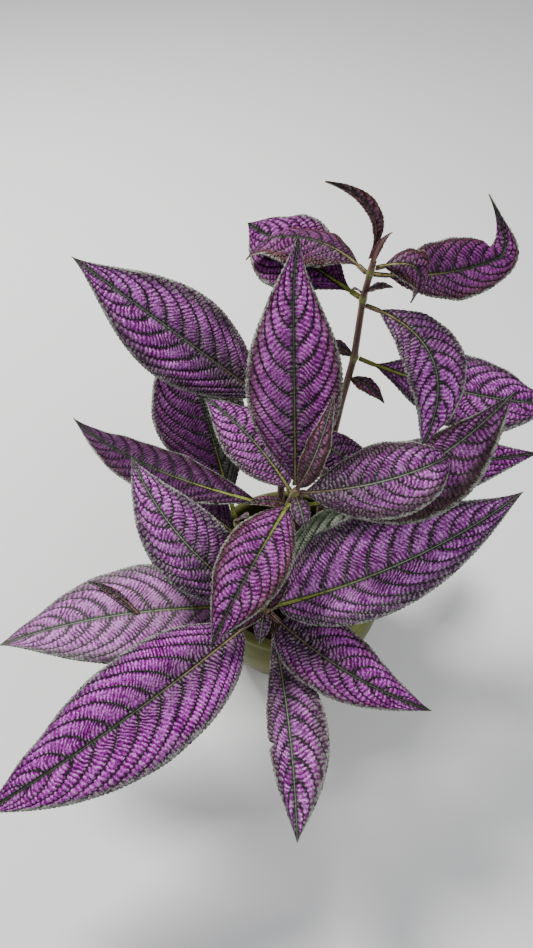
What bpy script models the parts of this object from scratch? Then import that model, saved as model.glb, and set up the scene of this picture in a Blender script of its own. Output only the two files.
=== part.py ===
"""A potted Persian shield: a glazed pot, its soil, five stems and their quilted leaves.

Metres, +Z up. The origin is the middle of the pot's foot, on the surface it stands on, and the
plant's front faces -Y. Every leaf hangs on a stem at a height: its midrib is a bowed line from
the stem to its tip, and its blade is a grid whose cross rows sweep forward like the side veins.
"""

import math
from dataclasses import dataclass

import bmesh
import bpy
from mathutils import Vector

MM = 0.001
GAP = 0.3 * MM

POT_RIM_RADIUS = 65 * MM
POT_HEIGHT = 90 * MM
POT_FOOT_RADIUS = 43 * MM
POT_WALL = 4.5 * MM
POT_LIP_RADIUS = 3.2 * MM
POT_BULGE = 5 * MM
POT_CURVE = 1.3
POT_RINGS = 9
POT_SIDES = 40

SOIL_DEPTH_BELOW_RIM = 18 * MM
SOIL_SIDES = 30
SOIL_RINGS = 6
SOIL_MOUND = 2.5 * MM
CRUMB_HEIGHT = 1.6 * MM
STEM_BURIED = 22 * MM

NODE_SWELL = 1.3
NODE_HALF_LENGTH = 3.5 * MM

STALK_HALF_WIDTH = 1.1 * MM
HEAD_CLEARANCE = 1.0 * MM
MIDRIB_THICKNESS = 1.7 * MM
BLADE_THICKNESS = 0.8 * MM
VEIN_SPACING = 8.5 * MM
VEIN_SWEEP = 0.17
VEIN_CURVE = 1.4
QUILT_HEIGHT = 1.0 * MM
QUILT_FULL_AT = 12 * MM
TOOTH_DEPTH = 0.5 * MM
TOOTH_FULL_AT = 4 * MM
EDGE_DROOP = 0.18
HOOK_START = 0.7
ROW_CROWDING = 1.15


@dataclass
class Stem:
    """A stem: axis points in mm from the soil up, radius at its foot and head, node heights."""
    points: list
    foot_radius: float
    head_radius: float
    nodes: list


@dataclass
class Leaf:
    """A leaf: the stem and height it grows from, its tip in mm, and how the blade is bent."""
    stem: str
    height: float
    tip: tuple
    width: float
    arch: float = 0.0
    sway: float = 0.0
    roll: float = 0.0
    fold: float = 10.0
    lop: float = 0.0
    widest: float = 0.40
    taper: float = 1.3
    hook: tuple = (0, 0, 0)
    stalk: float = 0.08
    rooted: bool = False


STEMS = {
    "middle": Stem([(-20, -8, 72), (-18, -16, 120), (-12, -24, 165), (-7, -27, 187), (-2, -29, 206)],
                   2.9, 1.9, [92, 186, 203]),
    "front": Stem([(-12, -22, 72), (-15, -44, 108), (-18, -62, 135), (-19, -70, 150)],
                  2.8, 2.0, [120, 137, 148]),
    "tall": Stem([(20, 32, 72), (20, 36, 140), (27, 40, 205), (32, 44, 236), (33, 45, 275), (36, 45, 298)],
                 2.9, 1.6, [95, 128, 236, 275, 291]),
    "back": Stem([(-8, 30, 72), (-8, 42, 130), (-6, 50, 188)], 2.7, 2.0, [178, 186]),
    "left": Stem([(-34, 6, 72), (-37, 12, 104), (-38, 14, 120)], 2.4, 1.8, [104, 117]),
}

LEAVES = {
    "crown_back": Leaf("middle", 204, (-5, 61, 305), 50, arch=0.03, stalk=0.02, taper=1.7, hook=(4, 1, 0)),
    "crown_left": Leaf("middle", 201, (-56, 48, 200), 34, arch=0.05, sway=-0.025, roll=-10, stalk=0.04),
    "crown_right": Leaf("middle", 202, (88, -6, 212), 42, arch=0.04, sway=-0.105, roll=20, hook=(-5, 0,
                        -5), stalk=0.04, widest=0.5, taper=1.0),
    "crown_front": Leaf("middle", 198, (-48, -90, 147), 38, arch=0.10, sway=0.02, roll=-10, stalk=0.03),
    "crown_rolled": Leaf("middle", 206, (15, -15, 264), 14, arch=0.05, stalk=0.04, sway=-0.08),
    "left_far": Leaf("middle", 186, (-154, 84, 146), 32, arch=0.02, sway=0.074, roll=-5, taper=1.6),
    "right_rising": Leaf("middle", 186, (116, 14, 237), 42, arch=-0.14, sway=-0.03, roll=20, widest=0.5,
                         lop=-0.35),
    "inner_right": Leaf("middle", 92, (95, 30, 118), 44, arch=0.05, roll=15),
    "front_left_big": Leaf("front", 143, (-172, -160, 88), 64, arch=0.07, sway=0.052, roll=-5, widest=0.38,
                           taper=1.15),
    "right_big": Leaf("front", 149, (133, -7, 177), 58, arch=0.02, sway=-0.065, roll=18, widest=0.34,
                      lop=0.22, stalk=0.03),
    "left_pale": Leaf("front", 124, (-183, -67, 100), 60, arch=0.08, sway=-0.012, roll=-10),
    "front_right": Leaf("front", 142, (74, -114, 115), 40, arch=0.05, sway=-0.085, roll=10, widest=0.30,
                        lop=0.1),
    "left_silvery": Leaf("front", 136, (-98, 10, 188), 43, arch=0.06, sway=0.105, roll=-18),
    "front_hanging": Leaf("front", 122, (-2, -177, 97), 34, arch=0.09, sway=0.02, roll=10, fold=22,
                          lop=0.3, widest=0.55),
    "top_left_folded": Leaf("tall", 291, (-33, 86, 282), 32, arch=0.08, sway=-0.12, roll=-10, widest=0.5,
                            hook=(3, 0, -10), fold=-15),
    "top_left_under": Leaf("tall", 275, (-29, 113, 279), 46, roll=-30, widest=0.55),
    "top_crescent": Leaf("tall", 297, (9, 45, 340), 8, arch=0.24, roll=-50, fold=40),
    "top_curled": Leaf("tall", 296, (57, 37, 278), 20, arch=0.6, roll=20),
    "top_right": Leaf("tall", 290, (130, 82, 289), 35, arch=-0.04, sway=-0.08, roll=25, widest=0.4,
                      hook=(-29, 10, 19), taper=1.5, lop=0.1),
    "top_drooping": Leaf("tall", 275, (66, -9, 220), 30, arch=0.30, sway=0.115, roll=20, lop=0.03,
                         taper=0.9, widest=0.5),
    "right_far": Leaf("tall", 236, (158, 40, 202), 50, arch=-0.03, sway=-0.03, roll=22, widest=0.5),
    "right_low": Leaf("tall", 128, (156, 34, 165), 42, arch=0.05, sway=-0.03, roll=25),
    "back_left_big": Leaf("back", 185, (-134, 103, 263), 57, roll=-38, widest=0.45, taper=1.5),
    "back_shaded": Leaf("back", 178, (62, -14, 165), 24, arch=0.1, roll=15),
    "left_dark": Leaf("left", 117, (-78, 124, 202), 62, arch=0.06, sway=0.01, roll=-20, lop=0.15,
                      widest=0.5),
    "low_left": Leaf("left", 104, (-95, 60, 92), 36, arch=0.1),
    "low_right": Leaf("tall", 95, (110, 80, 75), 40, arch=0.1),
}

def young(stem, height, tip, width, arch=0.1):
    """A young leaf that is part of its stem: its stalk starts on the stem's axis."""
    return Leaf(stem, height, tip, width, arch=arch, rooted=True)


SPROUTS = {
    "middle": [
        young("middle", 203, (4, -45, 189), 12),
        young("middle", 190, (-30, -32, 197), 6, arch=0.15),
    ],
    "front": [
        young("front", 150, (-5, -60, 165), 9),
        young("front", 149, (-37, -86, 153), 8, arch=0.15),
        young("front", 148, (-20, -88, 141), 11, arch=0.2),
    ],
    "tall": [
        young("tall", 222, (50, 27, 216), 10, arch=0.15),
        young("tall", 236, (8, 54, 240), 10),
        young("tall", 279, (47, 40, 286), 6, arch=0.15),
        young("tall", 277, (26, 39, 286), 4),
        young("tall", 296, (41, 34, 321), 4),
    ],
    "back": [young("back", 186, (-10, 62, 206), 9)],
    "left": [young("left", 118, (-29, 4, 137), 9)],
}

COLOURS = {
    "pot": ((0.19, 0.22, 0.075), 0.22),
    "soil": ((0.035, 0.022, 0.015), 0.95),
    "stem": ((0.11, 0.055, 0.035), 0.6),
    "leaf": ((0.27, 0.06, 0.33), 0.5),
}


def clear_scene():
    for thing in list(bpy.data.objects):
        bpy.data.objects.remove(thing, do_unlink=True)


def material(name):
    colour, roughness = COLOURS[name]
    made = bpy.data.materials.new(name)
    made.use_nodes = True
    shader = made.node_tree.nodes["Principled BSDF"]
    shader.inputs["Base Color"].default_value = (*colour, 1)
    shader.inputs["Roughness"].default_value = roughness
    shader.inputs["Metallic"].default_value = 0
    return made


def place(name, data, collection, finish):
    thing = bpy.data.objects.new(name, data)
    collection.objects.link(thing)
    if finish:
        data.materials.append(finish)
    return thing


def baked(thing):
    """The object's mesh with its modifiers applied, its loose caps welded."""
    graph = bpy.context.evaluated_depsgraph_get()
    mesh = bpy.data.meshes.new_from_object(thing.evaluated_get(graph))
    work = bmesh.new()
    work.from_mesh(mesh)
    bmesh.ops.remove_doubles(work, verts=work.verts, dist=0.00001)
    bmesh.ops.recalc_face_normals(work, faces=work.faces)
    work.to_mesh(mesh)
    work.free()
    return mesh


def drop(thing):
    bpy.data.objects.remove(thing, do_unlink=True)


def screw(thing, sides):
    turn = thing.modifiers.new("turn", "SCREW")
    turn.steps = sides
    turn.render_steps = sides
    turn.use_merge_vertices = True
    turn.merge_threshold = 0.00001


def profile_mesh(name, points):
    mesh = bpy.data.meshes.new(name)
    edges = [(i, i + 1) for i in range(len(points) - 1)]
    mesh.from_pydata([(r, 0, z) for r, z in points], edges, [])
    return mesh


def wall_radius(z):
    """The pot's outer radius: full under the lip, curving in to the foot."""
    down = 1 - z / POT_HEIGHT
    inward = 1 - (1 - down ** POT_CURVE) ** (1 / POT_CURVE)
    swell = POT_BULGE * math.sin(math.pi * down)
    return POT_RIM_RADIUS - POT_LIP_RADIUS * 0.5 - (POT_RIM_RADIUS - POT_FOOT_RADIUS) * inward + swell


def pot_profile():
    floor = POT_WALL
    lip_z = POT_HEIGHT - POT_LIP_RADIUS
    lip_r = POT_RIM_RADIUS - POT_LIP_RADIUS
    heights = [lip_z * k / POT_RINGS for k in range(POT_RINGS, 0, -1)]
    inner = [(wall_radius(z) - POT_WALL, z) for z in reversed(heights) if floor + 3 * MM < z < lip_z - 4 * MM]
    outer = [(wall_radius(z), z) for z in heights if z < lip_z - 4 * MM]
    arc = [math.radians(200 - 40 * k) for k in range(6)]
    lip = [(lip_r + POT_LIP_RADIUS * math.cos(a), lip_z + POT_LIP_RADIUS * math.sin(a)) for a in arc]
    foot = [(POT_FOOT_RADIUS + 0.6 * MM, 1.2 * MM), (POT_FOOT_RADIUS - 0.8 * MM, 0), (0, 0)]
    start = [(0, floor), (POT_FOOT_RADIUS - POT_WALL, floor)]
    return start + inner + lip + outer + foot


def make_pot(collection, finish):
    pot = place("pot", profile_mesh("pot", pot_profile()), collection, finish)
    screw(pot, POT_SIDES)
    pot.data.shade_smooth()
    return pot


def stem_axis(stem):
    """The stem's axis points in metres, from its buried end to its head."""
    points = [Vector(p) * MM for p in stem.points]
    along = (points[1] - points[0]).normalized()
    return [points[0] - along * STEM_BURIED] + points


def stem_at(stem, height):
    """Axis point, direction and radius of a stem at a height in metres."""
    axis = stem_axis(stem)
    for low, high in zip(axis, axis[1:]):
        if height <= high.z or high is axis[-1]:
            break
    share = (height - low.z) / (high.z - low.z)
    grown = (height - axis[1].z) / (axis[-1].z - axis[1].z)
    radius = stem.foot_radius + (stem.head_radius - stem.foot_radius) * min(1, max(0, grown))
    return low.lerp(high, share), (high - low).normalized(), radius * MM


def swell_at(stem, height):
    """How much thicker the stem is at a height in metres, from its nearest node's swelling."""
    near = min(abs(height - node * MM) for node in stem.nodes)
    return 1 + (NODE_SWELL - 1) * max(0, 1 - near / NODE_HALF_LENGTH)


def stem_rings(stem):
    """Points and radii along a stem, with a swelling at each of its nodes."""
    head = stem.points[-1][2] * MM
    heights = {round(p.z, 5) for p in stem_axis(stem)}
    for node in stem.nodes:
        heights |= {round(node * MM + step * NODE_HALF_LENGTH, 5) for step in (-1, 0, 1)}
    rings = []
    for z in sorted(heights):
        if z <= head:
            point, _, radius = stem_at(stem, z)
            rings.append((point, radius * swell_at(stem, z)))
    return rings


def stem_tube(name, stem, extra, collection):
    """A stem as a tube, its radius made wider all along by extra for the hole it stands in."""
    curve = bpy.data.curves.new(name, "CURVE")
    curve.dimensions = "3D"
    curve.bevel_depth = 1.0
    curve.bevel_resolution = 2
    curve.use_fill_caps = True
    curve.render_resolution_u = 0
    spline = curve.splines.new("POLY")
    rings = stem_rings(stem)
    spline.points.add(len(rings) - 1)
    for point, (place_at, radius) in zip(spline.points, rings):
        point.co = (*place_at, 1)
        point.radius = radius + extra
    tube = place(name, curve, collection, None)
    bpy.context.view_layer.update()
    return tube


def make_stem(name, stem, sprouts, collection, finish):
    """A stem and the young leaves at its nodes, grown together as one body."""
    tube = stem_tube(name + "_tube", stem, 0, collection)
    bare = place(name + "_bare", baked(tube), collection, None)
    drop(tube)
    buds = bpy.data.collections.new(name + "_sprouts")
    bpy.context.scene.collection.children.link(buds)
    for number, sprout in enumerate(sprouts):
        blade = make_leaf(f"{name}_sprout_{number}", sprout, buds, None)
        place(f"{name}_bud_{number}", baked(blade), buds, None)
        drop(blade)
    grow = bare.modifiers.new("sprouts", "BOOLEAN")
    grow.operation = "UNION"
    grow.operand_type = "COLLECTION"
    grow.collection = buds
    made = place(name, baked(bare), collection, finish)
    made.data.shade_smooth()
    drop(bare)
    for bud in list(buds.objects):
        drop(bud)
    bpy.data.collections.remove(buds)
    return made


def make_soil(collection, cutters, finish):
    """The mix: turned to the pot's inside, its top raised into crumbs, with a hole for each stem."""
    top = POT_HEIGHT - SOIL_DEPTH_BELOW_RIM
    floor = POT_WALL + GAP
    heights = [top * k / 5 for k in range(4, 0, -1)]
    side = [(wall_radius(z) - POT_WALL - GAP - 0.5 * MM, z) for z in [top] + heights if z > floor + 4 * MM]
    rings = [(side[0][0] * k / SOIL_RINGS, top) for k in range(SOIL_RINGS)]
    foot = [(POT_FOOT_RADIUS - POT_WALL - 2 * MM, floor), (0, floor)]
    turned = place("soil_turned", profile_mesh("soil_turned", rings + side + foot), collection, None)
    screw(turned, SOIL_SIDES)
    soil = place("soil", baked(turned), collection, finish)
    drop(turned)
    for vertex in soil.data.vertices:
        x, y, z = vertex.co
        reach = math.hypot(x, y) / side[0][0]
        if z > top - 0.1 * MM and reach < 0.98:
            bump = math.sin(210 * x + 1.3) * math.cos(170 * y) + 0.6 * math.sin(330 * x - 290 * y)
            vertex.co.z = z + CRUMB_HEIGHT * bump + SOIL_MOUND * (1 - reach)
    for name, stem in STEMS.items():
        hole = stem_tube("hole_" + name, stem, GAP, cutters)
        cutter = place("cutter_" + name, baked(hole), cutters, None)
        drop(hole)
        cutter.hide_render = True
        cutter.display_type = "WIRE"
        cut = soil.modifiers.new("hole_" + name, "BOOLEAN")
        cut.object = cutter
        cut.operation = "DIFFERENCE"
    return soil


def leaf_ends(leaf):
    """Where the leaf stalk starts, just clear of its stem's side or head, and the leaf's tip."""
    stem = STEMS[leaf.stem]
    axis, along, radius = stem_at(stem, leaf.height * MM)
    tip = Vector(leaf.tip) * MM
    if leaf.rooted:
        return axis, tip
    if leaf.height >= stem.points[-1][2]:
        return axis + along * HEAD_CLEARANCE, tip
    outward = (tip - axis).normalized()
    slant = max(0.5, outward.cross(along).length)
    sinking = max(0, -outward.dot(along) - 4 * leaf.arch)
    clear = radius * swell_at(stem, leaf.height * MM) + GAP + MIDRIB_THICKNESS * sinking
    return axis + outward * clear / slant, tip


def spine(leaf, s):
    """A point on the midrib, s from 0 at the stem to 1 at the tip."""
    start, tip = leaf_ends(leaf)
    chord = tip - start
    left = Vector((0, 0, 1)).cross(chord).normalized()
    up = chord.normalized().cross(left)
    bow = 4 * s * (1 - s) * chord.length
    late = max(0, (s - HOOK_START) / (1 - HOOK_START)) ** 2
    return start + chord * s + (up * leaf.arch + left * leaf.sway) * bow + Vector(leaf.hook) * MM * late


def spine_frame(leaf, s):
    """The blade's left and up directions at s on the midrib."""
    start, tip = leaf_ends(leaf)
    along = (spine(leaf, s + 0.001) - spine(leaf, s - 0.001)).normalized()
    left = Vector((0, 0, 1)).cross(tip - start).normalized()
    left = (left - along * left.dot(along)).normalized()
    up = along.cross(left)
    turn = math.radians(leaf.roll)
    return left * math.cos(turn) + up * math.sin(turn), up * math.cos(turn) - left * math.sin(turn)


def outline(leaf, u):
    """Half the blade's width at u from its base to its tip: lance shaped, drawn out at the tip."""
    base_taper = leaf.taper * leaf.widest / (1 - leaf.widest)
    peak = leaf.widest ** base_taper * (1 - leaf.widest) ** leaf.taper
    return leaf.width * MM / 2 * u ** base_taper * (1 - u) ** leaf.taper / peak


def blade_point(leaf, u, v, crest):
    """A point of the upper face: u along the leaf, v from -1 to 1 across it, crest 1 between veins."""
    u = u + VEIN_SWEEP * 4 * u * (1 - u) * abs(v) ** VEIN_CURVE
    s = leaf.stalk + (1 - leaf.stalk) * u
    side = 1 if v > 0 else -1
    half = outline(leaf, u)
    reach = half * (1 + leaf.lop * side) * abs(v)
    if abs(v) == 1:
        reach += TOOTH_DEPTH * (2 * crest - 1) * min(1, half / TOOTH_FULL_AT)
    reach += STALK_HALF_WIDTH * abs(v)
    tilt = math.radians(leaf.fold)
    puff = QUILT_HEIGHT * crest * math.sin(math.pi * min(1, abs(v) * 0.9)) * min(1, half / QUILT_FULL_AT)
    lift = reach * (math.sin(tilt) - EDGE_DROOP * abs(v)) + puff
    left, up = spine_frame(leaf, s)
    return spine(leaf, s) + left * side * reach * math.cos(tilt) + up * lift


def blade_rows(leaf):
    """How far along the leaf each cross row starts, with one row on each side vein and between."""
    start, tip = leaf_ends(leaf)
    pairs = max(3, round((tip - start).length / VEIN_SPACING / 2))
    count = 2 * pairs
    return [((k / count) ** ROW_CROWDING, k % 2) for k in range(count)]


def leaf_mesh(name, leaf):
    """The blade's upper face as an open sheet of triangles, with its midrib in a vertex group."""
    across = (-1.0, -0.5, 0.0, 0.5, 1.0)
    work = bmesh.new()
    thick = work.verts.layers.deform.new()
    rows = []
    stalk = [(s, 0.0) for s in (0.0, leaf.stalk * 0.6)]
    for s, _ in stalk:
        left, up = spine_frame(leaf, s)
        rows.append([work.verts.new(spine(leaf, s) + left * v * STALK_HALF_WIDTH) for v in across])
    for u, crest in blade_rows(leaf):
        rows.append([work.verts.new(blade_point(leaf, u, v, crest)) for v in across])
    for row in rows:
        for vertex, v in zip(row, across):
            vertex[thick][0] = 1.0 if v == 0 else 0.0
    for vertex in rows[0] + rows[1]:
        vertex[thick][0] = 1.0
    point = work.verts.new(spine(leaf, 1.0))
    for near, far in zip(rows, rows[1:]):
        for k in range(len(across) - 1):
            work.faces.new((near[k], near[k + 1], far[k + 1], far[k]))
    for k in range(len(across) - 1):
        work.faces.new((rows[-1][k], rows[-1][k + 1], point))
    bmesh.ops.triangulate(work, faces=work.faces, quad_method="SHORT_EDGE")
    mesh = bpy.data.meshes.new(name)
    work.to_mesh(mesh)
    work.free()
    return mesh


def make_leaf(name, leaf, collection, finish):
    made = place(name, leaf_mesh(name, leaf), collection, finish)
    made.vertex_groups.new(name="midrib")
    skin = made.modifiers.new("thickness", "SOLIDIFY")
    skin.thickness = MIDRIB_THICKNESS
    skin.offset = 1
    skin.vertex_group = "midrib"
    skin.thickness_vertex_group = BLADE_THICKNESS / MIDRIB_THICKNESS
    made.data.shade_smooth()
    bpy.context.view_layer.update()
    return made


def build():
    clear_scene()
    plant = bpy.data.collections.new("potted_persian_shield")
    cutters = bpy.data.collections.new("cutters")
    bpy.context.scene.collection.children.link(plant)
    bpy.context.scene.collection.children.link(cutters)
    make_pot(plant, material("pot"))
    make_soil(plant, cutters, material("soil"))
    stem_finish = material("stem")
    for name, stem in STEMS.items():
        make_stem("stem_" + name, stem, SPROUTS[name], plant, stem_finish)
    leaf_finish = material("leaf")
    for name, leaf in LEAVES.items():
        make_leaf("leaf_" + name, leaf, plant, leaf_finish)


build()
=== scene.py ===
# %% [markdown]
# # A potted Persian shield
# The plant has large lance shaped leaves that look hammered: between dark green side veins the blade
# swells into purple quilts, and a silver sheen lies on each of them. It grows from five short stems in
# an olive green glazed pot. This lesson dresses the plain solids of the plant, one piece at a time.

# %% Load the plain solids and keep their size
import itertools
import math
import types

import bpy
import numpy as np
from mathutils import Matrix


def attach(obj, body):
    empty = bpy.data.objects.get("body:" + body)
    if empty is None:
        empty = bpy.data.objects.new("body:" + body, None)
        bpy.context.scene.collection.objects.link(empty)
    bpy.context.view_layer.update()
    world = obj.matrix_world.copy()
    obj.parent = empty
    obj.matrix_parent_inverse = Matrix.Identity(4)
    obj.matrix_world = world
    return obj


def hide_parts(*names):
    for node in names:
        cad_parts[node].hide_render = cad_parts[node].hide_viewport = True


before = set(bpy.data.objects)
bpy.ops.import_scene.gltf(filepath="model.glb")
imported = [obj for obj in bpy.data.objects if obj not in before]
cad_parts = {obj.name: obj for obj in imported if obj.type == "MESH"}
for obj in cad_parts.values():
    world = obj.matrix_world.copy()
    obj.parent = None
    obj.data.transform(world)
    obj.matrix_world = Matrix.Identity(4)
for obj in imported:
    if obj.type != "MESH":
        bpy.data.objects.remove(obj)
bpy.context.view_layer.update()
MM = 0.001
rng = np.random.default_rng(7)

# %% [markdown]
# ## The camera
# The picture looks down on the plant by 50 degrees from the front. The camera comes first, because
# every later choice is judged through it. Its lens is given for a sensor whose long side is 36 mm.

# %% Camera
camera_data = bpy.data.cameras.new("camera")
camera_data.lens = 27.04
camera_data.sensor_width = 36
camera = bpy.data.objects.new("camera", camera_data)
camera.location = (-0.018, -0.268, 0.504)
camera.rotation_euler = (math.radians(40), 0, 0)
bpy.context.scene.collection.objects.link(camera)
bpy.context.scene.camera = camera
print("camera at", tuple(camera.location))

# %% [markdown]
# ## Measures of the pot and of a leaf
# These measures and the plans below are the ones that the solids have too, so every finer piece lies
# where its solid does. Only the blade is thinner here, as on the real leaf.

# %% Measures in metres
GAP = 0.3 * MM
RIM_RADIUS, POT_HEIGHT, FOOT_RADIUS = 65 * MM, 90 * MM, 43 * MM
WALL, LIP, BULGE, POT_CURVE = 4.5 * MM, 3.2 * MM, 5 * MM, 1.3
SOIL_TOP = 72 * MM
BURIED = 22 * MM
SWELL, NODE_HALF = 1.3, 3.5 * MM
STALK_HALF, HEAD_CLEARANCE = 1.1 * MM, 1.0 * MM
RIB_THICK, BLADE_THICK = 1.7 * MM, 0.5 * MM
EDGE_DROOP, HOOK_START = 0.18, 0.7
print("pot", 2 * RIM_RADIUS, "m across,", POT_HEIGHT, "m high")

# %% [markdown]
# ## The plan of the stems
# Each stem is a short list of points in millimetres, its radius at the foot and at the head, and the
# heights of its nodes, which are the swollen joints that the leaves grow from.

# %% Stems
STEMS = {
    "middle": ([(-20, -8, 72), (-18, -16, 120), (-12, -24, 165), (-7, -27, 187), (-2, -29, 206)],
               2.9, 1.9, [92, 186, 203]),
    "front": ([(-12, -22, 72), (-15, -44, 108), (-18, -62, 135), (-19, -70, 150)],
              2.8, 2.0, [120, 137, 148]),
    "tall": ([(20, 32, 72), (20, 36, 140), (27, 40, 205), (32, 44, 236), (33, 45, 275), (36, 45, 298)],
             2.9, 1.6, [95, 128, 236, 275, 291]),
    "back": ([(-8, 30, 72), (-8, 42, 130), (-6, 50, 188)], 2.7, 2.0, [178, 186]),
    "left": ([(-34, 6, 72), (-37, 12, 104), (-38, 14, 120)], 2.4, 1.8, [104, 117]),
}
print(len(STEMS), "stems")

# %% [markdown]
# ## The plan of the leaves
# One row stands for each leaf: its stem, the height it leaves it at, its tip and its width, in
# millimetres. `look` is how silver, how deep in painted shade and how brown and young it is, and how
# yellow green its rib is near the stem, each from 0 to 1.
#
# The rest is shape. `arch` and `sway` bow the midrib up and sideways, and `hook` bends its last part.
# `roll` tilts the blade and `fold` lifts its two halves, both in degrees. `lop` makes one half wider,
# `widest` is where the blade is widest, and `taper` draws its tip out. `stalk` is the stalk's share of
# the length, and `start` is for a leaf that lies loose. `green` is how green each half of an old leaf
# has turned, and `nick` is where its margin is torn.

# %% Leaves


class Leaf:
    """One leaf of the plan, in metres and radians."""

    def __init__(self, stem, height, tip, width, look, arch=0.0, sway=0.0, roll=0.0, fold=10.0,
                 lop=0.0, widest=0.40, taper=1.3, hook=(0, 0, 0), stalk=0.08, start=None,
                 green=(0, 0), nick=-1.0):
        self.stem, self.height, self.width, self.look = stem, height, width * MM, look
        self.tip, self.hook = np.array(tip) * MM, np.array(hook) * MM
        self.arch, self.sway = arch, sway
        self.roll, self.fold = math.radians(roll), math.radians(fold)
        self.lop, self.widest, self.taper, self.stalk = lop, widest, taper, stalk
        self.start, self.green, self.nick = start, green, nick


LEAVES = {
    "crown_back": Leaf("middle", 204, (-5, 61, 305), 50, (.24, .05, .24, .3), arch=.03, stalk=.02,
                       taper=1.7, hook=(4, 1, 0)),
    "crown_left": Leaf("middle", 201, (-56, 48, 200), 34, (.38, .20, .10, .6), arch=.05, sway=-.025,
                       roll=-10, stalk=.04),
    "crown_right": Leaf("middle", 202, (88, -6, 212), 42, (.55, .15, .20, 0), arch=.04, sway=-.105,
                        roll=20, hook=(-5, 0, -5), stalk=.04, widest=.5, taper=1.0),
    "crown_front": Leaf("middle", 198, (-48, -90, 147), 38, (.28, .05, .33, 1), arch=.10, sway=.02,
                        roll=-10, stalk=.03),
    "crown_rolled": Leaf("middle", 206, (15, -15, 264), 14, (.50, .15, .72, 0), arch=.05, stalk=.04,
                         sway=-.08),
    "left_far": Leaf("middle", 186, (-154, 84, 146), 32, (0, .95, .34, 1), arch=.02, sway=.074, roll=-5,
                     taper=1.6),
    "right_rising": Leaf("middle", 186, (116, 14, 237), 42, (.60, .38, .36, 1), arch=-.14, sway=-.03,
                         roll=20, widest=.5, lop=-.35),
    "inner_right": Leaf("middle", 92, (95, 30, 118), 44, (.75, 0, 0, 1), arch=.05, roll=15, green=(1, 1)),
    "front_left_big": Leaf("front", 143, (-172, -160, 88), 64, (.24, .06, 0, .2), arch=.07, sway=.052,
                           roll=-5, widest=.38, taper=1.15),
    "right_big": Leaf("front", 149, (133, -7, 177), 58, (.58, 0, 0, .9), arch=.02, sway=-.065, roll=18,
                      widest=.34, lop=.22, stalk=.03),
    "left_pale": Leaf("front", 124, (-183, -67, 100), 60, (.88, 0, 0, .8), arch=.08, sway=-.012, roll=-10),
    "front_right": Leaf("front", 142, (74, -114, 115), 40, (.28, 0, .14, 0), arch=.05, sway=-.085, roll=10,
                        widest=.30, lop=.1),
    "left_silvery": Leaf("front", 136, (-98, 10, 188), 43, (.52, .05, 0, 0), arch=.06, sway=.105, roll=-18),
    "front_hanging": Leaf("front", 122, (-2, -177, 97), 34, (.58, 0, .10, 0), arch=.09, sway=.02, roll=10,
                          fold=22, lop=.3, widest=.55, nick=.58),
    "top_left_folded": Leaf("tall", 291, (-33, 86, 282), 32, (.12, .42, .52, .4), arch=.08, sway=-.12,
                            roll=-10, widest=.5, hook=(3, 0, -10), fold=-15),
    "top_left_under": Leaf("tall", 275, (-29, 113, 279), 46, (.10, .45, .15, 1), roll=-30, widest=.55),
    "top_crescent": Leaf("tall", 297, (9, 45, 340), 8, (.15, 0, .75, .3), arch=.24, roll=-50, fold=40),
    "top_curled": Leaf("tall", 296, (57, 37, 278), 20, (.12, .35, .58, .5), arch=.6, roll=20),
    "top_right": Leaf("tall", 290, (130, 82, 289), 35, (.08, .58, .32, .4), arch=-.04, sway=-.08, roll=25,
                      hook=(-29, 10, 19), taper=1.5, lop=.1),
    "top_drooping": Leaf("tall", 275, (66, -9, 220), 30, (.42, 0, .05, .3), arch=.30, sway=.115, roll=20,
                         lop=.03, taper=.9, widest=.5),
    "right_far": Leaf("tall", 236, (158, 40, 202), 50, (.42, .22, .08, 1), arch=-.03, sway=-.03, roll=22,
                      widest=.5),
    "right_low": Leaf("tall", 128, (156, 34, 165), 42, (.30, .25, 0, .2), arch=.05, sway=-.03, roll=25),
    "back_left_big": Leaf("back", 185, (-134, 103, 263), 57, (.45, .05, .08, 0), roll=-38, widest=.45,
                          taper=1.5),
    "back_shaded": Leaf("back", 178, (62, -14, 165), 24, (.05, .85, .10, .2), arch=.1, roll=15),
    "left_dark": Leaf("left", 117, (-78, 124, 202), 62, (.12, .82, .15, 1), arch=.06, sway=.01, roll=-20,
                      lop=.15, widest=.5, green=(1, 0)),
    "low_left": Leaf("left", 104, (-95, 60, 92), 36, (.20, .40, 0, .3), arch=.1),
    "low_right": Leaf("tall", 95, (110, 80, 75), 40, (.20, .40, 0, .3), arch=.1),
}
print(len(LEAVES), "large leaves")

# %% [markdown]
# ## The young leaves
# Next year's shoots sit in the corners of the nodes as narrow leaves a few millimetres wide. They are
# brown rather than purple, and they belong to the stem that they grow from. One more, a dry bract, lies
# on the pale left leaf.

# %% Young leaves


def young(stem, height, tip, width, arch=0.1, look=(.20, .10, .60, .2)):
    return Leaf(stem, height, tip, width, look, arch=arch)


YOUNG = {
    "middle": [young("middle", 203, (3, -44, 189), 9, look=(.6, .0, .25, .2)),
               young("middle", 190, (-30, -32, 197), 6, .15)],
    "front": [young("front", 150, (-5, -60, 165), 9), young("front", 149, (-37, -86, 153), 8, .15),
              young("front", 148, (-22, -88, 143), 8, .2, look=(.6, .0, .25, .2))],
    "tall": [young("tall", 222, (50, 27, 216), 10, .15), young("tall", 236, (8, 54, 240), 10),
             young("tall", 279, (47, 40, 286), 6, .15), young("tall", 277, (26, 39, 286), 4),
             young("tall", 296, (41, 34, 321), 4)],
    "back": [young("back", 186, (-10, 62, 206), 9)],
    "left": [young("left", 118, (-29, 4, 137), 9)],
}
BRACT = Leaf("front", 124, (-127, -38, 127.6), 4, (.10, .25, .60, .0), arch=0.05, sway=-0.05,
             start=(-94, -60, 127.0))
print(sum(len(group) for group in YOUNG.values()), "young leaves and a bract")

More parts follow.
